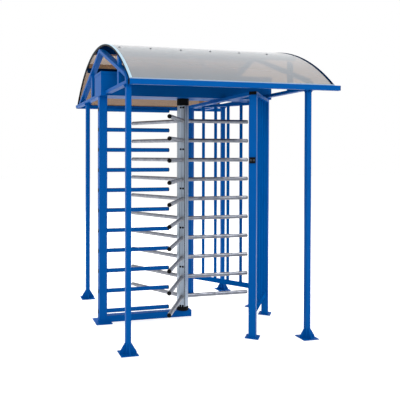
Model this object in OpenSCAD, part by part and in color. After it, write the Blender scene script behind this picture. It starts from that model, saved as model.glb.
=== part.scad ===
// Full-height turnstile under a barrel-vault canopy.
// The origin is on the floor, on the rotor's axis: +X runs along the header, away from the comb,
// +Y runs through the passage, away from the front, and +Z is up. Millimetres.

/* [Rotor] */
// Reach of an arm's tip from the axis
arm_reach = 725; // [640:5:760]
// Diameter of an arm
arm_d = 40; // [30:1:44]
// Arms in each wing
arm_count = 10; // [6:1:10]
// Height from one arm to the next
arm_pitch = 200; // [180:5:220]
// Height of the lowest arm
first_arm_z = 205; // [200:5:230]
// Length of the cap on an arm's tip
arm_cap_l = 9; // [6:1:30]
// Width of the hexagonal column across its flats
column_across = 102; // [90:2:130]
// Width of the seam between the column's bent plates
seam_w = 4; // [2:0.5:6]
// Diameter of the column's spindle
spindle_d = 40; // [30:1:50]
// Running clearance at the ends of the column
end_gap = 7; // [5:0.5:12]
// Clearance round the spindle in its bearings
bearing_gap = 0.3; // [0.2:0.05:0.5]

/* [Comb] */
// Diameter of a comb bar
bar_d = 41; // [30:1:46]
// Gap from the corners of the column to the bars' tips
comb_gap = 90; // [60:5:150]
// Gap from the arms' tips to the comb post
comb_post_gap = 77; // [60:1:110]
// Width of the square comb post
comb_post_w = 80; // [50:5:80]
// Length of a comb bar's cap
bar_cap_l = 10; // [6:1:30]
// Diameter of the plugs in the comb post's outer face
plug_d = 38; // [26:1:44]
// Thickness of those plugs
plug_t = 3; // [2:0.5:6]

/* [Base] */
// Width of the base beam
base_beam_w = 80; // [60:5:100]
// Height of the base beam
base_beam_h = 65; // [50:1:70]
// What the base beam runs past the axis
base_beam_past = 85; // [70:5:160]
// Outer diameter of the bottom bearing
bottom_bearing_d = 124; // [100:2:134]
// Height of the bottom bearing
bottom_bearing_h = 35; // [20:1:40]
// Outer diameter of the top bearing's collar
collar_d = 122; // [100:2:150]
// Height of the top bearing's collar
collar_h = 67; // [40:1:90]

/* [Header] */
// From the top comb bar's axis to the header's underside
head_gap = 125; // [110:1:160]
// Height of the header
header_h = 230; // [180:5:235]
// Depth of the header through the passage
header_w = 300; // [240:10:400]
// What the header runs past the comb post's axis
header_left_over = 48; // [40:1:80]
// What the header runs past the right row of posts
header_right_over = 60; // [35:5:100]
// Thickness of the header's folded lid
lid_t = 4; // [2:0.5:6]
// What the lid laps down over the sides
lid_lap = 22; // [10:1:40]

/* [Cage] */
// Width of a square cage post
cage_post_w = 65; // [50:5:70]
// Gap from the arms' tips to the slanted panels' posts
cage_gap = 17; // [15:1:40]
// Half of the distance between the side posts
cage_side_half = 140; // [100:5:180]
// Length of a slanted panel from post to post
slant_l = 797; // [700:1:820]
// Upright bars in a slanted panel
slant_bars = 4; // [3:1:6]
// Width of an upright bar
upright_w = 25; // [20:1:30]
// What the uprights of a slanted panel are set over towards the side panel
upright_shift = 20; // [0:1:40]
// Thickness of the rails
rail_t = 30; // [26:1:40]
// Height of the bottom rail
bottom_rail_h = 50; // [30:1:60]
// Height of the bottom rail's underside
bottom_rail_z = 196; // [120:1:300]
// Height of the ring of rails on the posts
ring_h = 30; // [20:1:40]
// Side of the square reader on the front cage post
reader_w = 54; // [46:1:56]
// Depth of the reader
reader_d = 16; // [10:1:30]
// Diameter of each of the reader's two windows
window_d = 20; // [12:1:21]
// What a window stands out of the reader
window_h = 3; // [2:0.5:6]
// From the header's underside down to the reader's centre
reader_drop = 620; // [100:10:1000]

/* [Canopy frame] */
// Width of the square tubes of the posts, eaves and purlins
tube_w = 45; // [36:1:46]
// Thickness of the heads of the plugs in the tubes' ends
plug_head_t = 3; // [2:0.5:6]
// Width of the flat tube of the ties and trusses
flat_w = 60; // [40:2:70]
// Height of that flat tube
flat_h = 30; // [20:1:40]
// Outer corner radius of every square tube
corner_r = 4; // [2:0.5:7]
// From the axis to the left row of posts
left_line = 820; // [800:5:830]
// From the axis to the right row of posts
right_line = 860; // [840:5:900]
// From the axis to the front and back rows of posts
post_row = 910; // [900:5:980]
// Height of the ties' underside over the header's underside
tie_lift = 15; // [10:1:20]
// From the front row of posts to the front eave
front_over = 67.5; // [67.5:2.5:200]
// From the back row of posts to the back eave
back_over = 687.5; // [500:2.5:800]
// What the eaves run past the left row of posts
left_over = 12; // [10:1:30]
// What the eaves run past the right row of posts
right_over_l = 270; // [150:10:400]
// Width of a truss strut
strut_w = 30; // [20:1:36]
// Depth of a truss strut along Y
strut_d = 60; // [40:2:70]
// From the axis to the truss struts
strut_y = 606; // [560:2:640]
// Offset of the truss's apex behind the axis
apex_y = 140; // [100:5:180]
// Half of the truss's span, from the apex to a rafter's foot
truss_half = 1220; // [1180:5:1230]
// Height of the truss's apex over the ties
truss_rise = 450; // [400:5:460]
// What the block at the truss's front foot runs on under the rafter
truss_foot = 30; // [20:1:40]
// Angle of the purlins from the crown of the vault
purlin_angle = 20; // [17:0.5:24]

/* [Roof] */
// Height of the vault's crown over the eaves
roof_rise = 492; // [480:1:560]
// Thickness of the sheet
sheet_t = 8; // [4:1:12]
// From the left end of the eaves to the vault
sheet_left_inset = 5; // [0:1:20]
// From the right end of the eaves to the vault
sheet_right_inset = 43; // [10:1:80]
// Half of the ridge plate's arc, as an angle
ridge_angle = 6.3; // [4:0.1:9]
// Thickness of the ridge plate and of the edge profiles' lower legs
arch_t = 8; // [5:1:12]
// Width of the edge profiles' lower legs
arch_w = 14; // [10:1:40]
// Thickness of the edge profiles' webs over the sheet's ends
web_t = 2; // [1:0.5:4]
// Width of the strips over the sheet's ends
strip_w = 24; // [15:1:40]
// Thickness of the strips over the sheet's ends
strip_t = 3; // [2:0.5:5]

/* [Feet] */
// Side of a canopy post's foot plate
foot_w = 150; // [140:5:170]
// Side of a cage post's foot plate
cage_foot_w = 120; // [112:2:140]
// Thickness of the foot plates
foot_t = 8; // [6:1:12]
// From a canopy foot's anchor hole to the plate's centre lines
anchor_off = 50; // [48:1:52]
// From a cage foot's anchor hole to the plate's centre lines
cage_anchor_off = 42; // [42:1:46]
// Diameter of an anchor hole
anchor_d = 12; // [8:1:14]
// Length of the comb post's foot plate along X
comb_foot_l = 160; // [150:5:200]
// Width of the comb post's foot plate
comb_foot_w = 220; // [200:5:260]
// From the comb foot's anchor holes to its centre line along X
comb_anchor_x = 60; // [56:1:62]
// From the comb foot's anchor holes to its centre line along Y
comb_anchor_y = 90; // [75:1:92]
// Height of the foot gussets
gusset_h = 94; // [50:1:120]
// Thickness of the gussets
gusset_t = 6; // [4:1:10]
// Side of a canopy post's top plate
top_plate_w = 88; // [80:2:90]
// Thickness of a canopy post's top plate
top_plate_t = 6; // [4:1:8]
// Height of the gussets under a top plate
top_gusset_h = 26; // [15:1:40]

/* [Hidden] */

paint = [0.02, 0.33, 0.66];
steel = [0.62, 0.65, 0.68];
black = [0.09, 0.09, 0.10];
bronze = [0.62, 0.56, 0.50];
silver = [0.85, 0.87, 0.88];
cut = 1;            // what a cutting solid runs past the face that it cuts

// Heights that follow from the arms and bars
first_bar_z = first_arm_z - arm_pitch / 2;
header_z = first_bar_z + arm_count * arm_pitch + head_gap;
tie_z = header_z + tie_lift;

// Rotor and comb
column_flat_r = column_across / 2;
column_corner_r = column_flat_r / cos(30);
column_z0 = base_beam_h + bottom_bearing_h + end_gap;
column_z1 = header_z - collar_h - end_gap;
comb_post_x = -(arm_reach + comb_post_gap + comb_post_w / 2);
comb_inner_x = comb_post_x + comb_post_w / 2;
bar_tip_x = -(column_corner_r + comb_gap);

// Header
header_x0 = comb_post_x - header_left_over;
header_x1 = right_line + header_right_over;

// Cage: the slanted panels' centre lines are tangent to a circle round the axis
slant_r = arm_reach + cage_gap + cage_post_w / 2;
side_corner_r = norm([right_line, cage_side_half]);
slant_angle = acos(slant_r / side_corner_r) + atan2(cage_side_half, right_line);
side_front = [right_line, -cage_side_half];
side_back = [right_line, cage_side_half];
front_corner = side_front - slant_l * [sin(slant_angle), cos(slant_angle)];
back_corner = [front_corner[0], -front_corner[1]];
ring_z = header_z - ring_h;
bottom_rail_top = bottom_rail_z + bottom_rail_h;

// Canopy
tie_top = tie_z + flat_h;
eave_z = tie_z + (flat_h - tube_w) / 2;
eave_top = eave_z + tube_w;
eave_front_y = -(post_row + front_over);
eave_back_y = post_row + back_over;
eave_x0 = -(left_line + left_over);
eave_x1 = right_line + right_over_l;
roof_y = (eave_front_y + eave_back_y) / 2;
roof_half = (eave_back_y - eave_front_y) / 2;
roof_r = (pow(roof_half, 2) + pow(roof_rise, 2)) / (2 * roof_rise);
roof_z = eave_top + roof_rise - roof_r;
sheet_r = roof_r - sheet_t;
vault_x0 = eave_x0 + sheet_left_inset;
vault_x1 = eave_x1 - sheet_right_inset;
arch_x0 = vault_x0 + arch_w;
arch_x1 = vault_x1 - arch_w;
seat_gap = 0.3;     // gap between the curved sheet and what is cut to fit under it

// ---- shared shapes ----

// A profile drawn as (y, z), run along X from x0 to x1
module along_x(x0, x1) {
    translate([x0, 0, 0]) rotate([90, 0, 90]) linear_extrude(x1 - x0) children();
}

// Section of a square or oblong tube with rounded corners, centred
module tube_section(w, h = undef) {
    height = is_undef(h) ? w : h;
    square([w - 2 * corner_r, height], center = true);
    square([w, height - 2 * corner_r], center = true);
    for (sx = [-1, 1], sy = [-1, 1])
        translate([sx * (w / 2 - corner_r), sy * (height / 2 - corner_r)]) circle(corner_r, $fn = 32);
}

// A flat tube along Y from y0 to y1, with its underside at z
module tube_y(x, y0, y1, z) {
    translate([x, y1, z + flat_h / 2]) rotate([90, 0, 0]) linear_extrude(y1 - y0)
        tube_section(flat_w, flat_h);
}

// A box given by two opposite corners
module block(p, q) {
    translate(p) cube(q - p);
}

// A rod along +X from x0 to x1
module rod(x0, x1, d) {
    translate([x0, 0, 0]) rotate([0, 90, 0]) cylinder(h = x1 - x0, d = d, $fn = 32);
}

// A cap on a rod's end: a straight skirt and a quarter-round nose
module round_cap(x0, length, d) {
    nose = min(length, d / 2) * 0.6;
    translate([x0, 0, 0]) rotate([0, 90, 0]) rotate_extrude($fn = 32) {
        square([d / 2 - nose, length]);
        square([d / 2, length - nose]);
        translate([d / 2 - nose, length - nose]) intersection() {
            circle(nose, $fn = 32);
            square(nose);
        }
    }
}

// Four places at the corners of a rectangle
module corners(dx, dy) {
    for (sx = [-1, 1], sy = [-1, 1]) translate([sx * dx, sy * dy, 0]) children();
}

// A plate on the floor with four anchor holes
module foot_plate(length, width, hole_x, hole_y) {
    difference() {
        translate([-length / 2, -width / 2, 0]) cube([length, width, foot_t]);
        corners(hole_x, hole_y) translate([0, 0, -cut])
            cylinder(h = foot_t + 2 * cut, d = anchor_d, $fn = 24);
    }
}

// Four triangular plates round a square post, from its faces out to a reach
module gussets(post_w, reach, height) {
    toe = height / 10;
    for (a = [0:90:270]) rotate(a) rotate([90, 0, 0]) translate([0, 0, -gusset_t / 2])
        linear_extrude(gusset_t) polygon([
            [post_w / 2, 0], [reach, 0], [reach, toe], [post_w / 2, height]
        ]);
}

// The comb's foot plate, also cut out of the base beam that sits over it
module comb_foot() {
    translate([comb_post_x, 0, 0]) foot_plate(comb_foot_l, comb_foot_w, comb_anchor_x, comb_anchor_y);
}

// Ring sector of the vault between two radii, over the eaves, as (y, z)
module vault_band(r_in, r_out) {
    intersection() {
        translate([roof_y, roof_z]) difference() {
            circle(r_out, $fn = 180);
            circle(r_in, $fn = 180);
        }
        translate([roof_y - roof_r, eave_top]) square([2 * roof_r, roof_rise + strip_t + cut]);
    }
}

// What lies inside the circle of the vault at a radius, as (y, z)
module under_vault(r) {
    intersection() {
        translate([roof_y, roof_z]) circle(r, $fn = 180);
        children();
    }
}

// ---- rotor ----

// Hexagon with corners towards the seams, so that its flats face the wings
module hexagon(r) {
    rotate(30) circle(r, $fn = 6);
}

module rotor_column() {
    seam_depth = seam_w / 2;
    color(steel) {
        difference() {
            translate([0, 0, column_z0]) linear_extrude(column_z1 - column_z0)
                hexagon(column_corner_r);
            for (a = [30, 150, 270]) rotate(a)
                translate([column_corner_r - seam_depth, -seam_w / 2, column_z0 - cut])
                    cube([seam_w, seam_w, column_z1 - column_z0 + 2 * cut]);
        }
        translate([0, 0, base_beam_h + bearing_gap])
            cylinder(h = column_z0 - base_beam_h - bearing_gap, d = spindle_d, $fn = 48);
        translate([0, 0, column_z1])
            cylinder(h = header_z - bearing_gap - column_z1, d = spindle_d, $fn = 48);
    }
}

// One wing: a column of arms that spring from a flat of the column
module wing(angle) {
    color(steel) for (k = [0:arm_count - 1])
        rotate(angle) translate([0, 0, first_arm_z + k * arm_pitch])
            rod(column_flat_r, arm_reach - arm_cap_l, arm_d);
}

module wing_caps(angle) {
    color(black) for (k = [0:arm_count - 1])
        rotate(angle) translate([0, 0, first_arm_z + k * arm_pitch])
            round_cap(arm_reach - arm_cap_l, arm_cap_l, arm_d);
}

module wing_a() { wing(0); }
module wing_b() { wing(120); }
module wing_c() { wing(240); }
module wing_a_caps() { wing_caps(0); }
module wing_b_caps() { wing_caps(120); }
module wing_c_caps() { wing_caps(240); }

// ---- base and comb ----

module base_beam() {
    color(paint) difference() {
        along_x(comb_inner_x, base_beam_past) translate([0, base_beam_h / 2])
            tube_section(base_beam_w, base_beam_h);
        block([comb_inner_x - cut, -base_beam_w, -cut],
              [comb_post_x + comb_foot_l / 2, base_beam_w, foot_t]);
    }
}

module base_bearing() {
    color(black) translate([0, 0, base_beam_h]) difference() {
        cylinder(h = bottom_bearing_h, d = bottom_bearing_d, $fn = 64);
        translate([0, 0, -cut])
            cylinder(h = bottom_bearing_h + 2 * cut, d = spindle_d + 2 * bearing_gap, $fn = 48);
    }
}

module comb_post() {
    color(paint) {
        comb_foot();
        translate([comb_post_x, 0, foot_t]) linear_extrude(header_z - foot_t)
            tube_section(comb_post_w);
    }
}

module comb_bars() {
    color(paint) for (k = [0:arm_count]) translate([0, 0, first_bar_z + k * arm_pitch])
        rod(comb_inner_x, bar_tip_x - bar_cap_l, bar_d);
}

module comb_caps() {
    color(black) for (k = [0:arm_count]) translate([0, 0, first_bar_z + k * arm_pitch])
        round_cap(bar_tip_x - bar_cap_l, bar_cap_l, bar_d);
}

// Plugs that close the bars' ends in the comb post's outer face
module comb_plugs() {
    outer_x = comb_post_x - comb_post_w / 2;
    color(black) for (k = [0:arm_count]) translate([0, 0, first_bar_z + k * arm_pitch])
        rod(outer_x - plug_t, outer_x, plug_d);
}

// ---- header ----

module header_box() {
    color(paint) block([header_x0, -header_w / 2, header_z],
                       [header_x1, header_w / 2, header_z + header_h - lid_t]);
}

// Folded lid: a top sheet with a skirt that laps over the box all round
module header_lid() {
    top = header_z + header_h;
    color(paint) difference() {
        block([header_x0 - lid_t, -header_w / 2 - lid_t, top - lid_lap],
              [header_x1 + lid_t, header_w / 2 + lid_t, top]);
        block([header_x0, -header_w / 2, top - lid_lap - cut],
              [header_x1, header_w / 2, top - lid_t]);
    }
}

module header_collar() {
    color(black) translate([0, 0, header_z - collar_h]) difference() {
        cylinder(h = collar_h, d = collar_d, $fn = 64);
        translate([0, 0, -cut])
            cylinder(h = collar_h + 2 * cut, d = spindle_d + 2 * bearing_gap, $fn = 48);
    }
}

// ---- cage ----

// Square of a cage post in plan, turned with its slanted panel
module cage_post_plan(p, turn) {
    translate(p) rotate(turn) tube_section(cage_post_w);
}

module cage_post(p, turn) {
    color(paint) {
        translate(p) rotate(turn)
            foot_plate(cage_foot_w, cage_foot_w, cage_anchor_off, cage_anchor_off);
        translate([0, 0, foot_t]) linear_extrude(ring_z - foot_t) cage_post_plan(p, turn);
    }
}

module cage_post_front() { cage_post(front_corner, -slant_angle); }
module cage_post_side_front() { cage_post(side_front, -slant_angle); }
module cage_post_side_back() { cage_post(side_back, slant_angle); }
module cage_post_back() { cage_post(back_corner, slant_angle); }

// Straight strip in plan between two points
module strip_plan(p, q, w) {
    run = q - p;
    translate(p) rotate(atan2(run[1], run[0])) translate([0, -w / 2]) square([norm(run), w]);
}

module cage_posts_plan() {
    cage_post_plan(front_corner, -slant_angle);
    cage_post_plan(side_front, -slant_angle);
    cage_post_plan(side_back, slant_angle);
    cage_post_plan(back_corner, slant_angle);
}

// A barred panel between two post centres: a bottom rail and evenly spaced uprights,
// all set over by a shift along the panel
module cage_panel(p, q, bars, shift = 0) {
    run = q - p;
    turn = atan2(run[1], run[0]);
    color(paint) {
        translate([0, 0, bottom_rail_z]) linear_extrude(bottom_rail_h) difference() {
            strip_plan(p, q, rail_t);
            cage_posts_plan();
        }
        for (k = [1:bars]) translate([0, 0, bottom_rail_top]) linear_extrude(ring_z - bottom_rail_top)
            translate(p + run * (k / (bars + 1) + shift / norm(run))) rotate(turn)
                square(upright_w, center = true);
    }
}

module cage_panel_front() { cage_panel(front_corner, side_front, slant_bars, upright_shift); }
module cage_panel_back() { cage_panel(side_back, back_corner, slant_bars, -upright_shift); }
module cage_panel_side() { cage_panel(side_front, side_back, 1); }

// Rails in plan: along the three panels, ending flush with the corner posts' outer faces
module ring_plan() {
    over = cage_post_w / 2 / slant_l;
    strip_plan(front_corner - over * (side_front - front_corner), side_front, cage_post_w);
    strip_plan(side_front, side_back, cage_post_w);
    strip_plan(side_back, back_corner - over * (side_back - back_corner), cage_post_w);
    cage_post_plan(side_front, -slant_angle);
    cage_post_plan(side_back, slant_angle);
}

// Rails that lie on the posts and close the panels at the top
module cage_ring() {
    color(paint) translate([0, 0, ring_z]) linear_extrude(ring_h) ring_plan();
}

// Beam that ties the ring's front and back ends under the header
module cage_beam() {
    color(paint) translate([0, 0, ring_z]) linear_extrude(ring_h) difference() {
        translate([front_corner[0] - cage_post_w / 2, front_corner[1]])
            square([cage_post_w, back_corner[1] - front_corner[1]]);
        ring_plan();
    }
}

module cage_ring_caps() {
    off = (cage_post_w + plug_head_t) / 2;
    color(black) for (s = [-1, 1])
        translate([front_corner[0], s * back_corner[1], ring_z + ring_h / 2]) rotate(s * slant_angle)
            translate([0, s * off, 0]) cube([cage_post_w, plug_head_t, ring_h], center = true);
}

// Reader on the outer face of the front cage post, with two round windows side by side
module reader() {
    color(black) translate([front_corner[0], front_corner[1], header_z - reader_drop]) rotate(-slant_angle)
        translate([0, -cage_post_w / 2, 0]) rotate([90, 0, 0]) {
            linear_extrude(reader_d) tube_section(reader_w);
            for (s = [-1, 1]) translate([s * reader_w / 4, 0, reader_d])
                cylinder(h = window_h, d = window_d, $fn = 32);
        }
}

// ---- canopy ----

module canopy_post(x, y) {
    top = tie_z - top_plate_t;
    color(paint) translate([x, y, 0]) {
        foot_plate(foot_w, foot_w, anchor_off, anchor_off);
        translate([0, 0, foot_t]) gussets(tube_w, foot_w / 2, gusset_h);
        translate([0, 0, foot_t]) linear_extrude(top - foot_t) tube_section(tube_w);
        translate([0, 0, top]) linear_extrude(top_plate_t) square(top_plate_w, center = true);
        translate([0, 0, top]) mirror([0, 0, 1]) gussets(tube_w, top_plate_w / 2, top_gusset_h);
    }
}

module post_front_left() { canopy_post(-left_line, -post_row); }
module post_front_right() { canopy_post(right_line, -post_row); }
module post_back_left() { canopy_post(-left_line, post_row); }
module post_back_right() { canopy_post(right_line, post_row); }

// Tie between the eaves, in two lengths that butt against the header
module tie(x) {
    half = tube_w / 2;
    color(paint) {
        tube_y(x, eave_front_y + half, -header_w / 2, tie_z);
        tube_y(x, header_w / 2, eave_back_y - half, tie_z);
    }
}

module tie_left() { tie(-left_line); }
module tie_right() { tie(right_line); }

module eave(y) {
    color(paint) along_x(eave_x0, eave_x1) translate([y, eave_z + tube_w / 2]) tube_section(tube_w);
}

module eave_front() { eave(eave_front_y); }
module eave_back() { eave(eave_back_y); }

module eave_caps() {
    color(black) for (y = [eave_front_y, eave_back_y], x = [eave_x0 - plug_head_t, eave_x1])
        along_x(x, x + plug_head_t) translate([y, eave_z + tube_w / 2]) tube_section(tube_w);
}

// Truss outline as (y, z): two rafters that meet at the apex, and a block on the tie that fills
// the front foot from the eave to where the rafter's underside comes out of the vault
module rafters_plan(vault_under_r) {
    slope = truss_rise / truss_half;
    drop = flat_h * sqrt(1 + slope * slope);
    foot = drop / slope;
    under_z = tie_top + truss_rise - drop + slope * (roof_y - apex_y) - roof_z;
    root = pow(vault_under_r, 2) * (1 + slope * slope) - pow(under_z, 2);
    meet_y = roof_y - (slope * under_z + sqrt(root)) / (1 + slope * slope);
    eave_in_y = eave_front_y + tube_w / 2;
    translate([apex_y, tie_top]) polygon([
        [-truss_half, 0], [0, truss_rise], [truss_half, 0],
        [truss_half - foot, 0], [0, truss_rise - drop], [foot - truss_half, 0]
    ]);
    translate([eave_in_y, tie_top])
        square([max(meet_y - eave_in_y, 0) + truss_foot, roof_rise]);
}

// A truss that stands on a tie: rafters, a back strut under its rafter, and a front strut that
// runs on past the rafter up to the vault. All of it is cut to fit between the eaves, under the vault.
module truss(x, vault_under_r) {
    back_top = tie_top + truss_rise * (1 - (strut_y - apex_y) / truss_half) - flat_h / 2;
    color(paint) {
        along_x(x - flat_w / 2, x + flat_w / 2) under_vault(vault_under_r) intersection() {
            rafters_plan(vault_under_r);
            translate([eave_front_y + tube_w / 2, tie_top])
                square([eave_back_y - eave_front_y - tube_w, roof_rise]);
        }
        along_x(x - strut_w / 2, x + strut_w / 2) {
            under_vault(vault_under_r)
                translate([-strut_y - strut_d / 2, tie_top]) square([strut_d, roof_rise]);
            translate([strut_y - strut_d / 2, tie_top]) square([strut_d, back_top - tie_top]);
        }
    }
}

module truss_left() { truss(-left_line, sheet_r - arch_t - seat_gap); }
module truss_right() { truss(right_line, sheet_r - seat_gap); }

// Tubes under the sheet, each square to the vault, between the edge profiles
module purlins() {
    seat_r = corner_r - seat_gap
        + sqrt(pow(sheet_r - corner_r, 2) - pow(tube_w / 2 - corner_r, 2));
    color(paint) along_x(arch_x0, arch_x1) translate([roof_y, roof_z])
        for (a = [-purlin_angle, purlin_angle]) rotate(a)
            translate([0, seat_r - tube_w / 2]) tube_section(tube_w);
}

module ridge_plate() {
    color(paint) along_x(arch_x0, arch_x1) intersection() {
        vault_band(sheet_r - arch_t, sheet_r);
        translate([roof_y, roof_z]) polygon([
            [0, 0],
            [(roof_r + sheet_t) * tan(ridge_angle), roof_r + sheet_t],
            [-(roof_r + sheet_t) * tan(ridge_angle), roof_r + sheet_t]
        ]);
    }
}

// Bent edge profile of an end of the sheet: a lower leg from x0 to x1 and a web, over the
// sheet's end, from web_x
module arch(x0, x1, web_x) {
    color(black) {
        along_x(x0, x1) vault_band(sheet_r - arch_t, sheet_r);
        along_x(web_x, web_x + web_t) vault_band(sheet_r - arch_t, roof_r);
    }
}

module arch_left() { arch(vault_x0, arch_x0, vault_x0); }
module arch_right() { arch(arch_x1, vault_x1, vault_x1 - web_t); }

// Strips over the sheet's ends
module edge_strips() {
    color(silver) for (x = [vault_x0, vault_x1 - strip_w])
        along_x(x, x + strip_w) vault_band(roof_r, roof_r + strip_t);
}

module roof_sheet() {
    color(bronze) along_x(vault_x0 + web_t, vault_x1 - web_t) vault_band(sheet_r, roof_r);
}

base_beam();
base_bearing();
comb_post();
comb_bars();
comb_caps();
comb_plugs();
header_box();
header_lid();
header_collar();
rotor_column();
wing_a();
wing_b();
wing_c();
wing_a_caps();
wing_b_caps();
wing_c_caps();
cage_post_front();
cage_post_side_front();
cage_post_side_back();
cage_post_back();
cage_panel_front();
cage_panel_side();
cage_panel_back();
cage_ring();
cage_beam();
cage_ring_caps();
reader();
post_front_left();
post_front_right();
post_back_left();
post_back_right();
tie_left();
tie_right();
eave_front();
eave_back();
eave_caps();
truss_left();
truss_right();
purlins();
ridge_plate();
arch_left();
arch_right();
edge_strips();
roof_sheet();
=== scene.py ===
"""Looks of a full-height turnstile with an arched canopy, dressed over its CAD frame."""
import math
import bpy
import bmesh
from mathutils import Matrix, Vector


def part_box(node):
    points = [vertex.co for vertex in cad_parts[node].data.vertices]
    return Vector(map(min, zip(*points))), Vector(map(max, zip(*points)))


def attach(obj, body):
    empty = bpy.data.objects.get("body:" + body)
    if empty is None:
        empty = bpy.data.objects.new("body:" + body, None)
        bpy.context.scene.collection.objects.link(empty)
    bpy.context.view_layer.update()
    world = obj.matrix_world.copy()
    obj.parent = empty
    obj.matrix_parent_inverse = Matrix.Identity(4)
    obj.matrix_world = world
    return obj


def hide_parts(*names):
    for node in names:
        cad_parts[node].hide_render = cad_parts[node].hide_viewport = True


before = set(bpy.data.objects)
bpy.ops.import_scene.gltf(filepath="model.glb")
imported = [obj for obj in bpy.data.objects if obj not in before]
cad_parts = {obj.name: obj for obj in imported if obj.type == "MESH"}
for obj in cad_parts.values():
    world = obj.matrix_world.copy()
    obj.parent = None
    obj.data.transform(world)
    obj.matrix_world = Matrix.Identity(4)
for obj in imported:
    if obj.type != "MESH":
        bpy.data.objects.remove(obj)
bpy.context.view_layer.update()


# ---- Viewpoint ----
# A visitor standing to the left of the way in, 5.7 m off, with eyes at 1.67 m, who looks nearly level.
# The view is cut off-centre, so the lens is shifted and upright things stay upright.
eye = Vector((-1.989, -5.327, 1.671))
heading, dip, lean = 0.2443054, 0.0105006, 0.0012546    # radians
focal_length, sensor_width = 49.506, 36                 # millimetres
shift_across, shift_up = 0.1993, -0.1023                # parts of the sensor's width
far_limit = 200                                         # metres

ahead = Vector((math.sin(heading) * math.cos(dip), math.cos(heading) * math.cos(dip), -math.sin(dip)))
level = Vector((math.cos(heading), -math.sin(heading), 0))
upward = level.cross(ahead)
right = level * math.cos(lean) + upward * math.sin(lean)
upward = upward * math.cos(lean) - level * math.sin(lean)

lens = bpy.data.cameras.new("viewpoint")
lens.sensor_width = sensor_width
lens.lens = focal_length
lens.shift_x = shift_across
lens.shift_y = shift_up
lens.clip_end = far_limit
viewpoint = bpy.data.objects.new("viewpoint", lens)
viewpoint.matrix_world = Matrix((
    (right.x, upward.x, -ahead.x, eye.x),
    (right.y, upward.y, -ahead.y, eye.y),
    (right.z, upward.z, -ahead.z, eye.z),
    (0, 0, 0, 1)))
bpy.context.scene.collection.objects.link(viewpoint)
bpy.context.scene.camera = viewpoint
bpy.context.scene.view_settings.view_transform = "Standard"


# ---- Studio: white surroundings, pale floor and soft lamps ----
# A white cove lit evenly, over a floor of matt white paint. The eye, metal and glass all see it white,
# and the floor keeps a faint shadow.
sky_strength = 0.55
floor_half = 30                 # metres
floor_colour = "E6E6E4"
floor_glow = 0.62
lamp_aim = Vector((0, 0, 1.1))  # the middle of the rotor, at the height of a waist


def linear(colour):
    """An sRGB hex colour as linear red, green, blue and 1."""
    parts = [int(colour[i:i + 2], 16) / 255 for i in (0, 2, 4)]
    return [p / 12.92 if p <= 0.04045 else ((p + 0.055) / 1.055) ** 2.4 for p in parts] + [1]


def put(tree, kind, settings=None, inputs=None):
    """Adds a node. Settings are its own properties; inputs are values, or outputs to link from."""
    node = tree.nodes.new(kind)
    for name, value in (settings or {}).items():
        setattr(node, name, value)
    for name, value in (inputs or {}).items():
        if isinstance(value, bpy.types.NodeSocket):
            tree.links.new(value, node.inputs[name])
        else:
            node.inputs[name].default_value = value
    return node


def bare_material(name):
    """A new material, and its node tree, which is empty."""
    material = bpy.data.materials.new(name)
    material.use_nodes = True
    material.node_tree.nodes.clear()
    return material, material.node_tree


def seen_directly(tree):
    """1 for rays that come from the eye, from metal or through glass, and 0 for those that carry light."""
    path = put(tree, "ShaderNodeLightPath")
    mirrored = put(tree, "ShaderNodeMath", {"operation": "MAXIMUM"},
                   {0: path.outputs["Is Camera Ray"], 1: path.outputs["Is Glossy Ray"]})
    return put(tree, "ShaderNodeMath", {"operation": "MAXIMUM"},
               {0: mirrored.outputs[0], 1: path.outputs["Is Transmission Ray"]}).outputs[0]


sky = bpy.data.worlds.new("white cove")
sky.use_nodes = True
tree = sky.node_tree
tree.nodes.clear()
strength = put(tree, "ShaderNodeMapRange", None,
               {"Value": seen_directly(tree), "To Min": sky_strength, "To Max": 1.0})
light = put(tree, "ShaderNodeBackground", None, {"Color": (1, 1, 1, 1), "Strength": strength.outputs[0]})
put(tree, "ShaderNodeOutputWorld", None, {"Surface": light.outputs[0]})
bpy.context.scene.world = sky

floor_mesh = bpy.data.meshes.new("studio_floor")
shape = bmesh.new()
bmesh.ops.create_grid(shape, x_segments=1, y_segments=1, size=floor_half)
shape.to_mesh(floor_mesh)
shape.free()
floor = bpy.data.objects.new("studio_floor", floor_mesh)
bpy.context.scene.collection.objects.link(floor)
floor_paint, tree = bare_material("matt white floor paint")
matt = put(tree, "ShaderNodeBsdfDiffuse", None, {"Color": linear(floor_colour)})
glow = put(tree, "ShaderNodeMapRange", None,
           {"Value": seen_directly(tree), "To Min": 0.0, "To Max": floor_glow})
shine = put(tree, "ShaderNodeEmission", None, {"Color": (1, 1, 1, 1), "Strength": glow.outputs[0]})
both = put(tree, "ShaderNodeAddShader", None, {0: matt.outputs[0], 1: shine.outputs[0]})
put(tree, "ShaderNodeOutputMaterial", None, {"Surface": both.outputs[0]})
floor_mesh.materials.append(floor_paint)

# The first four only light the object. The high one only shows in bare metal and gloss, as a soft streak.
# None of them shows through the clear roof. Places and sizes are in metres, powers in watts.
for name, place, size, power, mirrored in (
        ("key softbox", (-3.0, -8.5, 4.2), 3.5, 265, False),
        ("fill softbox", (6.5, -4.0, 4.0), 4.0, 140, False),
        ("side softbox", (-7.5, 0.5, 2.5), 3.5, 130, False),
        ("back softbox", (1.0, 6.0, 7.0), 4.5, 750, False),
        ("high softbox", (4.8, -6.2, 9.0), 3.5, 500, True)):
    lamp = bpy.data.lights.new(name, "AREA")
    lamp.shape = "SQUARE"
    lamp.size = size
    lamp.energy = power
    holder = bpy.data.objects.new(name, lamp)
    holder.location = place
    holder.rotation_euler = (lamp_aim - Vector(place)).to_track_quat("-Z", "Y").to_euler()
    holder.visible_glossy = mirrored
    holder.visible_diffuse = not mirrored
    holder.visible_transmission = False
    bpy.context.scene.collection.objects.link(holder)


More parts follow.
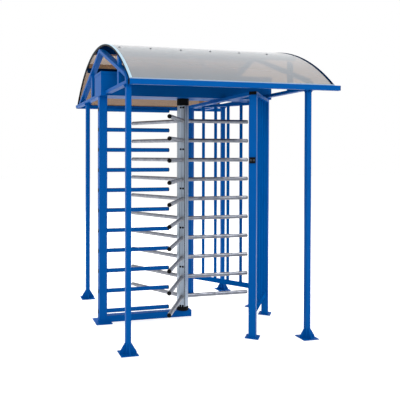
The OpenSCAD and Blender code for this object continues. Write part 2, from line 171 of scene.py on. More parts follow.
# ---- Painted steelwork ----
# Mild steel tube, bar and plate, welded up, shot-blasted and powder-coated in signal blue.
# The cured powder has a satin skin with little shine of its own, and a fine orange-peel ripple.
mm = 0.001              # the sizes and depths of the patterns are in millimetres
coat_colour = "0053A0"
coat_pale_colour = "025CAC"
coat_roughness = 0.34, 0.44
coat_specular = 0.04
cloud_size = 260
ripple_pitch = 6        # the real ripple is 1 to 2 mm, drawn coarser so that it shows
ripple_depth, ripple_strength = 0.3, 0.12

coat, tree = bare_material("blue powder coat, satin")
place = put(tree, "ShaderNodeTexCoord").outputs["Object"]
clouds = put(tree, "ShaderNodeTexNoise", None,
             {"Vector": place, "Scale": 1 / (cloud_size * mm), "Detail": 3.0})
tone = put(tree, "ShaderNodeMix", {"data_type": "RGBA"},
           {"Factor": clouds.outputs["Fac"], 6: linear(coat_colour), 7: linear(coat_pale_colour)})
gloss = put(tree, "ShaderNodeMapRange", None,
            {"Value": clouds.outputs["Fac"], "To Min": coat_roughness[0], "To Max": coat_roughness[1]})
ripple = put(tree, "ShaderNodeTexNoise", None,
             {"Vector": place, "Scale": 1 / (ripple_pitch * mm), "Detail": 1.0})
peel = put(tree, "ShaderNodeBump", None,
           {"Height": ripple.outputs["Fac"], "Strength": ripple_strength, "Distance": ripple_depth * mm})
skin = put(tree, "ShaderNodeBsdfPrincipled", None,
           {"Base Color": tone.outputs[2], "Roughness": gloss.outputs[0], "Normal": peel.outputs[0],
            "Specular IOR Level": coat_specular})
put(tree, "ShaderNodeOutputMaterial", None, {"Surface": skin.outputs[0]})


def dress(material, *names):
    """Gives CAD nodes a finish."""
    for name in names:
        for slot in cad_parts[name].material_slots:
            slot.material = material


dress(coat, "base_beam", "comb_post", "comb_bars", "header_box", "header_lid",
      "cage_post_front", "cage_post_side_front", "cage_post_side_back", "cage_post_back",
      "cage_ring", "cage_beam", "post_front_left", "post_front_right", "post_back_left", "post_back_right",
      "tie_left", "tie_right", "eave_front", "eave_back", "truss_left", "truss_right")


# ---- Cage panels ----
# Square steel bars stood on a bottom rail and welded to it, coated apart from the posts.
# The coat lies thicker and grainier on so many edges, and has no shine at a glancing look.
panel_roughness = 0.75
grain_pitch = 9         # the real grain is under 1 mm, drawn coarser so that it shows
grain_depth, grain_strength = 0.4, 0.2

matt_coat, tree = bare_material("blue powder coat, fine texture")
place = put(tree, "ShaderNodeTexCoord").outputs["Object"]
clouds = put(tree, "ShaderNodeTexNoise", None,
             {"Vector": place, "Scale": 1 / (cloud_size * mm), "Detail": 3.0})
tone = put(tree, "ShaderNodeMix", {"data_type": "RGBA"},
           {"Factor": clouds.outputs["Fac"], 6: linear(coat_colour), 7: linear(coat_pale_colour)})
grain = put(tree, "ShaderNodeTexNoise", None,
            {"Vector": place, "Scale": 1 / (grain_pitch * mm), "Detail": 2.0})
rough = put(tree, "ShaderNodeBump", None,
            {"Height": grain.outputs["Fac"], "Strength": grain_strength, "Distance": grain_depth * mm})
skin = put(tree, "ShaderNodeBsdfPrincipled", None,
           {"Base Color": tone.outputs[2], "Roughness": panel_roughness, "Normal": rough.outputs[0],
            "Specular IOR Level": 0.0})
put(tree, "ShaderNodeOutputMaterial", None, {"Surface": skin.outputs[0]})
dress(matt_coat, "cage_panel_front", "cage_panel_side", "cage_panel_back")


# ---- Ridge plate and purlins ----
# A bent steel plate under the crown and the tubes that carry the sheet, coloured a matt dark blue that is
# painted shade of the roof above them, with paler patches at random.
shade_coat_colour = "011B3C"
shade_coat_pale_colour = "02284F"
shade_coat_roughness = 0.7
patch_size = 90

shade_coat, tree = bare_material("dark blue coat, painted shade")
place = put(tree, "ShaderNodeTexCoord").outputs["Object"]
patches = put(tree, "ShaderNodeTexNoise", None, {"Vector": place, "Scale": 1 / (patch_size * mm), "Detail": 4.0})
tone = put(tree, "ShaderNodeMix", {"data_type": "RGBA"},
           {"Factor": patches.outputs["Fac"], 6: linear(shade_coat_colour), 7: linear(shade_coat_pale_colour)})
skin = put(tree, "ShaderNodeBsdfPrincipled", None,
           {"Base Color": tone.outputs[2], "Roughness": shade_coat_roughness, "Specular IOR Level": 0.0})
put(tree, "ShaderNodeOutputMaterial", None, {"Surface": skin.outputs[0]})
dress(shade_coat, "ridge_plate", "purlins")


# ---- Rotor column ----
# Stainless sheet bent to a hexagon and belt-ground along its length before bending.
# The grinding leaves upright streaks, some bright and some dull.
column_dull_colour = "66707C"
column_bright_colour = "B4C0CE"
column_roughness = 0.42, 0.26
streak_width, streak_length = 16, 1500
streak_range = 0.3, 0.7         # noise values that become fully dull and fully bright

sheet_steel, tree = bare_material("stainless steel sheet, ground lengthwise")
place = put(tree, "ShaderNodeTexCoord").outputs["Object"]
across, along = 1 / (streak_width * mm), 1 / (streak_length * mm)
drawn = put(tree, "ShaderNodeMapping", {"vector_type": "POINT"},
            {"Vector": place, "Scale": (across, across, along)})
streaks = put(tree, "ShaderNodeTexNoise", None, {"Vector": drawn.outputs[0], "Scale": 1.0, "Detail": 3.0})
spread = put(tree, "ShaderNodeMapRange", None,
             {"Value": streaks.outputs["Fac"], "From Min": streak_range[0], "From Max": streak_range[1],
              "To Min": 0.0, "To Max": 1.0})
tone = put(tree, "ShaderNodeMix", {"data_type": "RGBA"},
           {"Factor": spread.outputs[0], 6: linear(column_dull_colour), 7: linear(column_bright_colour)})
gloss = put(tree, "ShaderNodeMapRange", None,
            {"Value": spread.outputs[0], "To Min": column_roughness[0], "To Max": column_roughness[1]})
skin = put(tree, "ShaderNodeBsdfPrincipled", None,
           {"Base Color": tone.outputs[2], "Metallic": 1.0, "Roughness": gloss.outputs[0]})
put(tree, "ShaderNodeOutputMaterial", None, {"Surface": skin.outputs[0]})
dress(sheet_steel, "rotor_column")


# ---- Arms ----
# Stainless tube, welded to the column and brushed by hand with a scouring pad.
# It is a little darker than the column, and handling leaves it cloudy.
arm_dull_colour = "585C64"
arm_bright_colour = "A2A4AC"
arm_roughness = 0.4, 0.24
smear_size = 45

tube_steel, tree = bare_material("stainless steel tube, hand brushed")
place = put(tree, "ShaderNodeTexCoord").outputs["Object"]
smears = put(tree, "ShaderNodeTexNoise", None,
             {"Vector": place, "Scale": 1 / (smear_size * mm), "Detail": 5.0})
tone = put(tree, "ShaderNodeMix", {"data_type": "RGBA"},
           {"Factor": smears.outputs["Fac"], 6: linear(arm_dull_colour), 7: linear(arm_bright_colour)})
gloss = put(tree, "ShaderNodeMapRange", None,
            {"Value": smears.outputs["Fac"], "To Min": arm_roughness[0], "To Max": arm_roughness[1]})
skin = put(tree, "ShaderNodeBsdfPrincipled", None,
           {"Base Color": tone.outputs[2], "Metallic": 1.0, "Roughness": gloss.outputs[0]})
put(tree, "ShaderNodeOutputMaterial", None, {"Surface": skin.outputs[0]})
dress(tube_steel, "wing_a", "wing_b", "wing_c")


# ---- Plugs, bearing, collar, edge profiles and reader housing ----
# Black polyamide, pushed in or clipped on. The long edge profiles are extruded, and the rest is moulded.
# The spark-eroded faces of the tools leave a fine grain that keeps it nearly matt.
plastic_colour = "040507"
plastic_roughness = 0.5
plastic_specular = 0.08
grit_size = 1.1         # the real grain is about 0.1 mm, drawn coarser so that it shows close by
grit_depth, grit_strength = 0.2, 0.2

plastic, tree = bare_material("black polyamide, moulded")
place = put(tree, "ShaderNodeTexCoord").outputs["Object"]
grit = put(tree, "ShaderNodeTexNoise", None, {"Vector": place, "Scale": 1 / (grit_size * mm), "Detail": 2.0})
pitted = put(tree, "ShaderNodeBump", None,
             {"Height": grit.outputs["Fac"], "Strength": grit_strength, "Distance": grit_depth * mm})
skin = put(tree, "ShaderNodeBsdfPrincipled", None,
           {"Base Color": linear(plastic_colour), "Roughness": plastic_roughness, "Normal": pitted.outputs[0],
            "Specular IOR Level": plastic_specular})
put(tree, "ShaderNodeOutputMaterial", None, {"Surface": skin.outputs[0]})
dress(plastic, "base_bearing", "comb_caps", "comb_plugs", "header_collar", "wing_a_caps", "wing_b_caps",
      "wing_c_caps", "cage_ring_caps", "reader", "eave_caps", "arch_left", "arch_right")


# ---- Bolts on the column ----
# Button-head socket screws that hold the bent plates to the bosses of the arms, in pairs between the
# arms, on the three flats that carry a wing. Blacking leaves the steel dull, with oily patches.
bolt_d, bolt_h, socket_d, socket_depth = 21 * mm, 5 * mm, 8 * mm, 3 * mm
button_curve = (0.25, 0.5), (0.65, 0.4), (0.92, 0.26)       # height and radius, as parts of bolt_h and bolt_d
bolt_side_step = 12.5 * mm      # from the middle of the flat
column_flat = 51 * mm           # from the rotor's axis
first_bolt_z, bolt_pitch, bolt_pairs, top_bolt_z = 115 * mm, 399.5 * mm, 5, 2138 * mm
wing_count = 3
blacked_colour = "030304"
blacked_roughness = 0.35, 0.6
blacked_specular = 0.05
oil_size = 4

blacked, tree = bare_material("blacked steel screw")
place = put(tree, "ShaderNodeTexCoord").outputs["Object"]
oil = put(tree, "ShaderNodeTexNoise", None, {"Vector": place, "Scale": 1 / (oil_size * mm), "Detail": 2.0})
gloss = put(tree, "ShaderNodeMapRange", None,
            {"Value": oil.outputs["Fac"], "To Min": blacked_roughness[0], "To Max": blacked_roughness[1]})
skin = put(tree, "ShaderNodeBsdfPrincipled", None,
           {"Base Color": linear(blacked_colour), "Roughness": gloss.outputs[0],
            "Specular IOR Level": blacked_specular})
put(tree, "ShaderNodeOutputMaterial", None, {"Surface": skin.outputs[0]})


def wrap(shape, rings, closed=False):
    """Joins each ring of corners to the next with faces, and the last to the first where it is closed."""
    faces = []
    for low, high in zip(rings, rings[1:] + rings[:1] if closed else rings[1:]):
        count = max(len(low), len(high))
        for k in range(count):
            after = (k + 1) % count
            corners = low[k % len(low)], low[after % len(low)], high[after % len(high)], high[k % len(high)]
            faces.append(shape.faces.new(list(dict.fromkeys(corners))))
    return faces


def smooth_mesh(name, shape):
    """Turns a bmesh into a smooth mesh whose faces point outwards."""
    bmesh.ops.recalc_face_normals(shape, faces=shape.faces)
    for face in shape.faces:
        face.smooth = True
    mesh = bpy.data.meshes.new(name)
    shape.to_mesh(mesh)
    shape.free()
    return mesh


def spun(name, outline, steps):
    """A closed shape turned about +X from (distance along X, radius) points that start and end at radius 0."""
    shape = bmesh.new()
    turns = [2 * math.pi * k / steps for k in range(steps)]
    wrap(shape, [[shape.verts.new((x, r * math.cos(a), r * math.sin(a))) for a in (turns if r else turns[:1])]
                 for x, r in outline])
    return smooth_mesh(name, shape)


def rows_tree():
    """Geometry nodes that lay the object's own mesh along a row, and turn that row about Z."""
    tree = bpy.data.node_groups.new("rows", "GeometryNodeTree")
    for name, kind in (("Item", "NodeSocketGeometry"), ("Start", "NodeSocketVector"),
                       ("Step", "NodeSocketVector"), ("Count", "NodeSocketInt"), ("Rows", "NodeSocketInt"),
                       ("Row Step", "NodeSocketVector"), ("Turns", "NodeSocketInt"),
                       ("Finish", "NodeSocketMaterial")):
        tree.interface.new_socket(name, in_out="INPUT", socket_type=kind)
    tree.interface.new_socket("Shape", in_out="OUTPUT", socket_type="NodeSocketGeometry")
    given = put(tree, "NodeGroupInput").outputs
    line = put(tree, "GeometryNodeMeshLine", {"mode": "OFFSET"},
               {"Count": given["Count"], "Start Location": given["Start"], "Offset": given["Step"]})
    row = put(tree, "GeometryNodeInstanceOnPoints", None,
              {"Points": line.outputs[0], "Instance": given["Item"]})
    lines = put(tree, "GeometryNodeMeshLine", {"mode": "OFFSET"},
                {"Count": given["Rows"], "Offset": given["Row Step"]})
    rows = put(tree, "GeometryNodeInstanceOnPoints", None,
               {"Points": lines.outputs[0], "Instance": row.outputs[0]})
    centre = put(tree, "GeometryNodePoints", None, {"Count": given["Turns"]})
    turn = put(tree, "ShaderNodeMath", {"operation": "DIVIDE"}, {0: 2 * math.pi, 1: given["Turns"]})
    angle = put(tree, "ShaderNodeMath", {"operation": "MULTIPLY"},
                {0: put(tree, "GeometryNodeInputIndex").outputs[0], 1: turn.outputs[0]})
    facing = put(tree, "ShaderNodeCombineXYZ", None, {"Z": angle.outputs[0]})
    around = put(tree, "GeometryNodeInstanceOnPoints", None,
                 {"Points": centre.outputs[0], "Instance": rows.outputs[0], "Rotation": facing.outputs[0]})
    solid = put(tree, "GeometryNodeRealizeInstances", None, {"Geometry": around.outputs[0]})
    finished = put(tree, "GeometryNodeSetMaterial", None,
                   {"Geometry": solid.outputs[0], "Material": given["Finish"]})
    put(tree, "NodeGroupOutput", None, {"Shape": finished.outputs[0]})
    return tree


rows = rows_tree()


def laid(name, item, body, finish, start,
         step=(0, 0, 0), count=1, row_count=1, row_step=(0, 0, 0), turns=1):
    """Lays an item in rows, keeps the result as one plain mesh, and lets it ride on a body."""
    piece = bpy.data.objects.new(name, item)
    bpy.context.scene.collection.objects.link(piece)
    repeat = piece.modifiers.new("rows", "NODES")
    repeat.node_group = rows
    values = {"Start": start, "Step": step, "Count": count, "Rows": row_count, "Row Step": row_step,
              "Turns": turns, "Finish": finish}
    for socket in rows.interface.items_tree:
        if socket.in_out == "INPUT" and socket.name in values:
            repeat[socket.identifier] = values[socket.name]
    mesh = bpy.data.meshes.new_from_object(piece.evaluated_get(bpy.context.evaluated_depsgraph_get()))
    piece.modifiers.clear()
    piece.data = mesh
    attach(piece, body)


socket_floor = bolt_h - socket_depth
head = spun("button head",
            [(0, 0), (0, bolt_d / 2)] + [(bolt_h * tall, bolt_d * wide) for tall, wide in button_curve]
            + [(bolt_h, socket_d / 2), (socket_floor, socket_d / 2), (socket_floor, 0)], steps=18)
pair_step = (0, 2 * bolt_side_step, 0)
laid("column_bolts", head, "rotor", blacked, (column_flat, -bolt_side_step, first_bolt_z),
     step=(0, 0, bolt_pitch), count=bolt_pairs, row_count=2, row_step=pair_step, turns=wing_count)
laid("column_top_bolts", head, "rotor", blacked, (column_flat, -bolt_side_step, top_bolt_z),
     row_count=2, row_step=pair_step, turns=wing_count)


# ---- Seams of the column ----
# A dark grey strip fills the grooves where the bent plates meet and is smoothed over the corner; it is painted
# shade of those grooves. It is dull and a little lumpy, and shows as three dark upright lines.
corner_turn = math.radians(30)          # from the middle of a flat to the corner beside it
seam_turns = 30, 150, 270               # degrees
column_corner = column_flat / math.cos(corner_turn)
seam_width, seam_root, seam_proud = 9 * mm, 3 * mm, 0.4 * mm
seam_root_part, seam_crown_part = 0.6, 0.3      # parts of the seam's width
column_end_gap = 9 * mm                 # between a seam's end and the ring or collar next to it
column_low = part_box("base_bearing")[1][2] + column_end_gap
column_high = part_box("header_collar")[0][2] - column_end_gap
# The dark grey is painted shade of the grooves.
seam_shade_colour = "4E5257"
seam_shade_roughness = 0.7
seam_shade_specular = 0.1
lump_size = 6
lump_depth, lump_strength = 1, 0.4

seam_shade, tree = bare_material("dark grey seam strip, painted shade")
place = put(tree, "ShaderNodeTexCoord").outputs["Object"]
lumps = put(tree, "ShaderNodeTexNoise", None, {"Vector": place, "Scale": 1 / (lump_size * mm), "Detail": 2.0})
uneven = put(tree, "ShaderNodeBump", None,
             {"Height": lumps.outputs["Fac"], "Strength": lump_strength, "Distance": lump_depth * mm})
skin = put(tree, "ShaderNodeBsdfPrincipled", None,
           {"Base Color": linear(seam_shade_colour), "Roughness": seam_shade_roughness, "Normal": uneven.outputs[0],
            "Specular IOR Level": seam_shade_specular})
put(tree, "ShaderNodeOutputMaterial", None, {"Surface": skin.outputs[0]})


def prism(shape, near_end, far_end):
    """Adds a closed prism to a bmesh, between two outlines that have the same number of corners."""
    ends = [[shape.verts.new(corner) for corner in outline] for outline in (near_end, far_end)]
    wrap(shape, ends)
    for end in ends:
        shape.faces.new(end)


def piece_from(name, shape, body, slot, *finishes):
    """Makes a bmesh a piece that rides on a body, with its faces turned outwards."""
    bmesh.ops.recalc_face_normals(shape, faces=shape.faces)
    mesh = bpy.data.meshes.new(name)
    shape.to_mesh(mesh)
    shape.free()
    for finish in finishes:
        mesh.materials.append(finish)
    piece = bpy.data.objects.new(name, mesh)
    bpy.context.scene.collection.objects.link(piece)
    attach(piece, body)
    return piece


half = seam_width / 2
seam_face = column_corner - half * math.tan(corner_turn) + seam_proud
seam_edge = [(seam_face - seam_root, half * seam_root_part), (seam_face, half),
             (column_corner, half * seam_crown_part)]
seam_section = [(x, -y) for x, y in seam_edge] + seam_edge[::-1]
shape = bmesh.new()
for turn in seam_turns:
    c, s = math.cos(math.radians(turn)), math.sin(math.radians(turn))
    prism(shape, *([(x * c - y * s, x * s + y * c, z) for x, y in seam_section]
                   for z in (column_low, column_high)))
piece_from("column_seams", shape, "rotor", "black_plastic", seam_shade)


# ---- Weld beads of the arms ----
# Each arm is TIG-welded to its flat: a narrow stainless bead laid in overlapping drops.
# The heat tints it from grey to straw.
arm_d, arm_bead = 40 * mm, 5 * mm
first_arm_z, arm_pitch, arm_count = 205 * mm, 200 * mm, 10
drop_swell = 0.14               # how much of a round bead's thickness comes and goes with its drops
weld_colour = "8A8F94"
weld_straw_colour = "B9B2A6"
weld_roughness = 0.4
tint_size = 9

weld, tree = bare_material("stainless TIG weld")
place = put(tree, "ShaderNodeTexCoord").outputs["Object"]
heat = put(tree, "ShaderNodeTexNoise", None, {"Vector": place, "Scale": 1 / (tint_size * mm), "Detail": 3.0})
tone = put(tree, "ShaderNodeMix", {"data_type": "RGBA"},
           {"Factor": heat.outputs["Fac"], 6: linear(weld_colour), 7: linear(weld_straw_colour)})
skin = put(tree, "ShaderNodeBsdfPrincipled", None,
           {"Base Color": tone.outputs[2], "Metallic": 1.0, "Roughness": weld_roughness})
put(tree, "ShaderNodeOutputMaterial", None, {"Surface": skin.outputs[0]})


def bead_ring(name, tube_d, bead, drops, steps, sides=8):
    """A weld bead round the root of a tube along +X, swelling at each drop."""
    shape = bmesh.new()
    rings = []
    for k in range(steps):
        a = 2 * math.pi * k / steps
        thick = bead / 2 * (1 - drop_swell + drop_swell * math.cos(a * drops))
        ring = []
        for j in range(sides):
            b = 2 * math.pi * j / sides
            r = tube_d / 2 + thick * math.cos(b)
            ring.append(shape.verts.new((thick * math.sin(b), r * math.cos(a), r * math.sin(a))))
        rings.append(ring)
    wrap(shape, rings, closed=True)
    return smooth_mesh(name, shape)


laid("arm_welds", bead_ring("arm bead", arm_d, arm_bead, drops=24, steps=72), "rotor", weld,
     (column_flat, 0, first_arm_z), step=(0, 0, arm_pitch), count=arm_count, turns=wing_count)


# ---- Weld beads of the comb ----
# The round steel bars are MIG-welded to the comb post before painting, midway between the arms.
# So the beads carry the same blue coat, and show as a soft ring.
bar_d, bar_bead = 41 * mm, 6 * mm
first_bar_z, bar_count = 105 * mm, 11
comb_inner_x = -802 * mm        # the face of the comb post that the bars stand on

laid("bar_welds", bead_ring("bar bead", bar_d, bar_bead, drops=18, steps=54), "frame", coat,
     (comb_inner_x, 0, first_bar_z), step=(0, 0, arm_pitch), count=bar_count)


# ---- Weld beads of the feet ----
# Each post is a square tube, welded all round to its foot plate, and the blue coat covers the bead.
# The posts of the cage are turned with its slanted panels.
canopy_tube, cage_tube, comb_tube = 45 * mm, 65 * mm, 80 * mm
panel_turn = math.radians(36.513)
foot_top = 8 * mm
foot_bead = 5 * mm
foot_swell = 0.15               # the same for the beads of the feet
foot_bead_sides = 6
drop_pitch = 7 * mm
steps_per_drop = 4


def stands_at(name):
    """The x and y of the middle of an upright node."""
    low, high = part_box(name)
    return (low[0] + high[0]) / 2, (low[1] + high[1]) / 2


def bead_round(shape, centre, turn, tube):
    """A closed bead round a square tube that stands on a plate, swelling at each drop of the weld."""
    corners = [Vector((x * tube / 2, y * tube / 2)) for x, y in ((-1, -1), (1, -1), (1, 1), (-1, 1))]
    rings = []
    run = 0.0
    for k in range(4):
        side = corners[(k + 1) % 4] - corners[k]
        out = Vector((side.y, -side.x)).normalized()
        steps = int(side.length / (drop_pitch / steps_per_drop))
        for j in range(steps):
            at = corners[k] + side * (j + 0.5) / steps
            swell = foot_swell * math.cos(2 * math.pi * (run + side.length * j / steps) / drop_pitch)
            thick = foot_bead / 2 * (1 - foot_swell + swell)
            ring = []
            for n in range(foot_bead_sides):
                a = 2 * math.pi * n / foot_bead_sides
                flat = at + out * thick * math.cos(a)
                ring.append(shape.verts.new((
                    centre[0] + flat.x * math.cos(turn) - flat.y * math.sin(turn),
                    centre[1] + flat.x * math.sin(turn) + flat.y * math.cos(turn),
                    foot_top + thick * math.sin(a))))
            rings.append(ring)
        run += side.length
    wrap(shape, rings, closed=True)


shape = bmesh.new()
for name, tube, turn in (
        ("post_front_left", canopy_tube, 0), ("post_front_right", canopy_tube, 0),
        ("post_back_left", canopy_tube, 0), ("post_back_right", canopy_tube, 0),
        ("cage_post_front", cage_tube, -panel_turn), ("cage_post_side_front", cage_tube, -panel_turn),
        ("cage_post_side_back", cage_tube, panel_turn), ("cage_post_back", cage_tube, panel_turn),
        ("comb_post", comb_tube, 0)):
    bead_round(shape, stands_at(name), turn, tube)
piece_from("foot_welds", shape, "frame", "blue_paint", coat)


# ---- Gussets of the back cage post ----
# Four small triangular steel plates brace the back post on its foot plate.
# They are welded on and carry the post's blue coat.
gusset_reach, gusset_rise, gusset_lip, gusset_plate = 26 * mm, 50 * mm, 6 * mm, 6 * mm

root, tip = cage_tube / 2, cage_tube / 2 + gusset_reach
outline = [(root, 0), (tip, 0), (tip, gusset_lip), (root + gusset_lip, gusset_rise), (root, gusset_rise)]
stand = Matrix.Translation((*stands_at("cage_post_back"), foot_top)) @ Matrix.Rotation(panel_turn, 4, "Z")
shape = bmesh.new()
for k in range(4):
    turned_by = stand @ Matrix.Rotation(math.radians(90 * k), 4, "Z")
    prism(shape, *([turned_by @ Vector((x, y, z)) for x, z in outline]
                   for y in (-gusset_plate / 2, gusset_plate / 2)))
piece_from("back_post_gussets", shape, "frame", "blue_paint", coat)


# ---- Windows of the reader ----
# Two round windows of dark acrylic, polished to a near-black gloss, each pressed into a rim.
# The rims are turned aluminium, anodised grey, with a fine satin glint.
window_d, window_rim = 18 * mm, 2.5 * mm
window_step = 13.5 * mm         # from the middle of the housing
window_face = 50.5 * mm         # from the middle of the post
rim_floor, rim_top, rim_outer_break, rim_inner_break = 1.2 * mm, 1.8 * mm, 0.6 * mm, 0.4 * mm
pane_edge, pane_shoulder, pane_crown, pane_break = 1.5 * mm, 2.1 * mm, 2.3 * mm, 0.6 * mm
window_steps = 32
rim_colour = "5A5D61"
rim_roughness = 0.25, 0.4
turned_size = 2
window_colour = "050608"
window_roughness = 0.03, 0.1
haze_size = 8
acrylic_ior = 1.49

rim_metal, tree = bare_material("aluminium rim, turned and grey anodised")
place = put(tree, "ShaderNodeTexCoord").outputs["Object"]
turned = put(tree, "ShaderNodeTexNoise", None,
             {"Vector": place, "Scale": 1 / (turned_size * mm), "Detail": 2.0})
gloss = put(tree, "ShaderNodeMapRange", None,
            {"Value": turned.outputs["Fac"], "To Min": rim_roughness[0], "To Max": rim_roughness[1]})
skin = put(tree, "ShaderNodeBsdfPrincipled", None,
           {"Base Color": linear(rim_colour), "Metallic": 1.0, "Roughness": gloss.outputs[0]})
put(tree, "ShaderNodeOutputMaterial", None, {"Surface": skin.outputs[0]})

acrylic, tree = bare_material("dark acrylic, polished")
place = put(tree, "ShaderNodeTexCoord").outputs["Object"]
haze = put(tree, "ShaderNodeTexNoise", None, {"Vector": place, "Scale": 1 / (haze_size * mm), "Detail": 2.0})
gloss = put(tree, "ShaderNodeMapRange", None,
            {"Value": haze.outputs["Fac"], "To Min": window_roughness[0], "To Max": window_roughness[1]})
skin = put(tree, "ShaderNodeBsdfPrincipled", None,
           {"Base Color": linear(window_colour), "Roughness": gloss.outputs[0], "IOR": acrylic_ior})
put(tree, "ShaderNodeOutputMaterial", None, {"Surface": skin.outputs[0]})

outer, bore = window_d / 2, window_d / 2 - window_rim
rim = spun("window rim", [
    (0, 0), (0, outer), (rim_floor, outer), (rim_top, outer - rim_outer_break),
    (rim_top, bore + rim_inner_break), (rim_floor, bore), (rim_floor, 0)], window_steps)
pane = spun("window pane", [
    (rim_floor, 0), (rim_floor, bore), (pane_edge, bore - pane_break), (pane_shoulder, window_d / 4),
    (pane_crown, 0)], window_steps)
reader_z = (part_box("reader")[0][2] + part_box("reader")[1][2]) / 2
faces_front = Matrix.Rotation(-panel_turn - math.radians(90), 4, "Z")
for item in (rim, pane):
    item.transform(Matrix.Translation((*stands_at("cage_post_front"), reader_z)) @ faces_front
                   @ Matrix.Translation((window_face, -window_step, 0)))
along_post = faces_front @ Vector((0, 2 * window_step, 0))
laid("reader_rims", rim, "frame", rim_metal, (0, 0, 0), step=along_post, count=2)
laid("reader_panes", pane, "frame", acrylic, (0, 0, 0), step=along_post, count=2)


# ---- Edge strips ----
# Aluminium flats, bent over the sheet's ends and bonded to it. The left one is coloured pale cyan, a painted
# reflection of the bright surroundings, and shows as a pale edge; the right one takes the dark blue painted
# shade.
vault_y, vault_z, vault_r = 310 * mm, 843.9 * mm, 1930.6 * mm       # the bow's centre line and radius
strip_w, strip_t, strip_break = 24 * mm, 3 * mm, 0.6 * mm
strip_steps = 96
strip_low, strip_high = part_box("edge_strips")
# pale cyan: painted reflection of the bright surroundings
strip_reflection_colour = "C2E2F4"
strip_roughness = 0.2, 0.38
rolled_size = 30

bright, tree = bare_material("aluminium strip, painted pale reflection")
place = put(tree, "ShaderNodeTexCoord").outputs["Object"]
rolled = put(tree, "ShaderNodeTexNoise", None,
             {"Vector": place, "Scale": 1 / (rolled_size * mm), "Detail": 3.0})
gloss = put(tree, "ShaderNodeMapRange", None,
            {"Value": rolled.outputs["Fac"], "To Min": strip_roughness[0], "To Max": strip_roughness[1]})
skin = put(tree, "ShaderNodeBsdfPrincipled", None,
           {"Base Color": linear(strip_reflection_colour), "Metallic": 1.0, "Roughness": gloss.outputs[0]})
put(tree, "ShaderNodeOutputMaterial", None, {"Surface": skin.outputs[0]})


def on_vault(x, radius, lean):
    """A point at a radius from the bow's centre line, leaning from upright towards the back."""
    return x, vault_y + radius * math.sin(lean), vault_z + radius * math.cos(lean)


def over_vault(shape, section, steps):
    """Carries a closed section of (x, radius, lean at the back foot) corners over the vault, foot to foot.
    Returns the long faces, ring by ring, and the two ends."""
    rings = []
    for k in range(steps + 1):
        part = 2 * k / steps - 1
        rings.append([shape.verts.new(on_vault(x, radius, lean * part)) for x, radius, lean in section])
    return wrap(shape, rings), [shape.faces.new(rings[0]), shape.faces.new(rings[-1])]


strip_foot = math.acos((strip_low[2] - vault_z) / vault_r)
strip_top = vault_r + strip_t
# The left strip's pale cyan is painted reflection; the right strip's dark blue is painted shade.
for name, x0, x1, slot, finish in (
        ("edge_strip_left", strip_low[0], strip_low[0] + strip_w, "edge_aluminium", bright),
        ("edge_strip_right", strip_high[0] - strip_w, strip_high[0], "blue_paint", shade_coat)):
    section = [(x0, vault_r), (x1, vault_r), (x1, strip_top - strip_break), (x1 - strip_break, strip_top),
               (x0 + strip_break, strip_top), (x0, strip_top - strip_break)]
    shape = bmesh.new()
    over_vault(shape, [(x, radius, strip_foot) for x, radius in section], strip_steps)
    strip = piece_from(name, shape, "frame", slot, finish)
    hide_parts("edge_strips")


# ---- Roof sheet ----
# Bronze polycarbonate, bent cold over the purlins. Outside it is coloured pale grey, a painted reflection of
# the white surroundings, and it shines; inside, the bare sheet is brown. Both are half clear, so the trusses
# show through.
outside_reflection_colour = "D8E2EC"
outside_reflection_pale_colour = "E6F0FA"
bronze_colour = "7C4C2A"
bronze_dark_colour = "603A20"
polycarbonate_ior = 1.585
dust_size = 420
sheet_t = 8 * mm
sheet_steps = 144

finishes = []
for name, dull, bright_tone, roughness, clear, specular in (
        ("pale grey painted reflection on polycarbonate", outside_reflection_colour, outside_reflection_pale_colour, 0.04, 0.68, 0.4),
        ("bronze polycarbonate", bronze_dark_colour, bronze_colour, 0.02, 0.72, 0.0)):
    face_finish, tree = bare_material(name)
    place = put(tree, "ShaderNodeTexCoord").outputs["Object"]
    clouds = put(tree, "ShaderNodeTexNoise", None,
                 {"Vector": place, "Scale": 1 / (dust_size * mm), "Detail": 4.0})
    tone = put(tree, "ShaderNodeMix", {"data_type": "RGBA"},
               {"Factor": clouds.outputs["Fac"], 6: linear(dull), 7: linear(bright_tone)})
    skin = put(tree, "ShaderNodeBsdfPrincipled", None,
               {"Base Color": tone.outputs[2], "Roughness": roughness, "Transmission Weight": clear,
                "IOR": polycarbonate_ior, "Specular IOR Level": specular})
    put(tree, "ShaderNodeOutputMaterial", None, {"Surface": skin.outputs[0]})
    finishes.append(face_finish)

sheet_low, sheet_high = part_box("roof_sheet")
vault_inner_r = vault_r - sheet_t
foot_out = math.acos((sheet_low[2] - vault_z) / vault_r)
foot_in = math.acos((sheet_low[2] - vault_z) / vault_inner_r)
shape = bmesh.new()
long_faces, end_faces = over_vault(shape, [
    (sheet_low[0], vault_r, foot_out), (sheet_high[0], vault_r, foot_out),
    (sheet_high[0], vault_inner_r, foot_in), (sheet_low[0], vault_inner_r, foot_in)], sheet_steps)
for k, face in enumerate(long_faces):
    face.smooth = k % 4 in (0, 2)                       # the outside and the inside, but not the two edges
    face.material_index = 0 if k % 4 == 0 else 1        # pale grey painted reflection on the outside, bare bronze elsewhere
for face in end_faces:
    face.material_index = 1
for edge in shape.edges:
    edge.smooth = all(face.smooth for face in edge.link_faces) and \
        len({face.material_index for face in edge.link_faces}) == 1
sheet = piece_from("roof_skin", shape, "frame", "roof_sheet", *finishes)
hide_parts("roof_sheet")


# ---- Foot rails of the sheet ----
# Rolled angles of zinc-plated steel on the eaves. The sheet's feet stand in them, and their lips show as
# a pale line. The zinc has dull flowers in it.
rail_h, rail_t, rail_leg, rail_gap = 11 * mm, 2 * mm, 6 * mm, 1 * mm
rail_colour = "9DB2C6"
rail_roughness = 0.35, 0.5
flower_size = 12

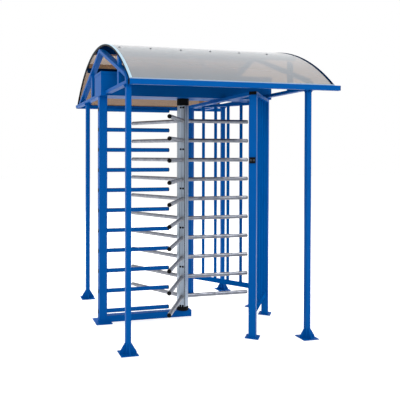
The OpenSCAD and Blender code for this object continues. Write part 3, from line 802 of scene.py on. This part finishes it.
zinc_sheet, tree = bare_material("zinc-plated steel angle")
place = put(tree, "ShaderNodeTexCoord").outputs["Object"]
flower = put(tree, "ShaderNodeTexVoronoi", {"feature": "F1"},
             {"Vector": place, "Scale": 1 / (flower_size * mm)})
gloss = put(tree, "ShaderNodeMapRange", None,
            {"Value": flower.outputs["Distance"], "To Min": rail_roughness[0], "To Max": rail_roughness[1]})
skin = put(tree, "ShaderNodeBsdfPrincipled", None,
           {"Base Color": linear(rail_colour), "Metallic": 1.0, "Roughness": gloss.outputs[0]})
put(tree, "ShaderNodeOutputMaterial", None, {"Surface": skin.outputs[0]})

eave_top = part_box("eave_front")[1][2]
angle_section = [(0, 0), (rail_leg, 0), (rail_leg, rail_t), (rail_t, rail_t), (rail_t, rail_h), (0, rail_h)]
shape = bmesh.new()
for foot_y, out in ((sheet_low[1] - rail_gap, -1), (sheet_high[1] + rail_gap, 1)):
    prism(shape, *([(x, foot_y + out * y, eave_top + z) for y, z in angle_section]
                   for x in (sheet_low[0], sheet_high[0])))
piece_from("foot_rails", shape, "frame", "edge_aluminium", zinc_sheet)


# ---- Roof screws ----
# Self-drilling zinc-plated steel screws with rubber washers hold the sheet to the two purlins.
# The plating is bright where it is clean, and clouds where it has been handled.
washer_d, washer_h, washer_crown_d, washer_crown_h = 22 * mm, 2 * mm, 18.48 * mm, 3 * mm
screw_d, screw_h, screw_crown_d, screw_side_h = 10 * mm, 7 * mm, 8 * mm, 5.95 * mm
screw_steps = 16
purlin_lean = math.radians(20)      # from upright, seen from the bow's centre line
first_screw_x, screw_pitch, screw_count = -758 * mm, 302.7 * mm, 7
screw_colour = "6F7278"
screw_roughness = 0.3, 0.5
plating_size = 5

zinc, tree = bare_material("zinc-plated screw with rubber washer")
place = put(tree, "ShaderNodeTexCoord").outputs["Object"]
plating = put(tree, "ShaderNodeTexNoise", None,
              {"Vector": place, "Scale": 1 / (plating_size * mm), "Detail": 2.0})
gloss = put(tree, "ShaderNodeMapRange", None,
            {"Value": plating.outputs["Fac"], "To Min": screw_roughness[0], "To Max": screw_roughness[1]})
skin = put(tree, "ShaderNodeBsdfPrincipled", None,
           {"Base Color": linear(screw_colour), "Metallic": 1.0, "Roughness": gloss.outputs[0]})
put(tree, "ShaderNodeOutputMaterial", None, {"Surface": skin.outputs[0]})

washered = spun("roofing screw", [
    (0, 0), (0, washer_d / 2), (washer_h, washer_d / 2), (washer_crown_h, washer_crown_d / 2),
    (washer_crown_h, screw_d / 2), (screw_side_h, screw_d / 2), (screw_h, screw_crown_d / 2), (screw_h, 0)],
    screw_steps)
for name, lean in (("roof_screws_front", -purlin_lean), ("roof_screws_back", purlin_lean)):
    item = washered.copy()
    item.transform(Matrix.Translation(on_vault(0, vault_r, lean)) @ Matrix.Rotation(math.pi / 2 - lean, 4, "X")
                   @ Matrix.Rotation(math.pi / 2, 4, "Z"))
    laid(name, item, "frame", zinc, (first_screw_x, 0, 0), step=(screw_pitch, 0, 0),
         count=screw_count)
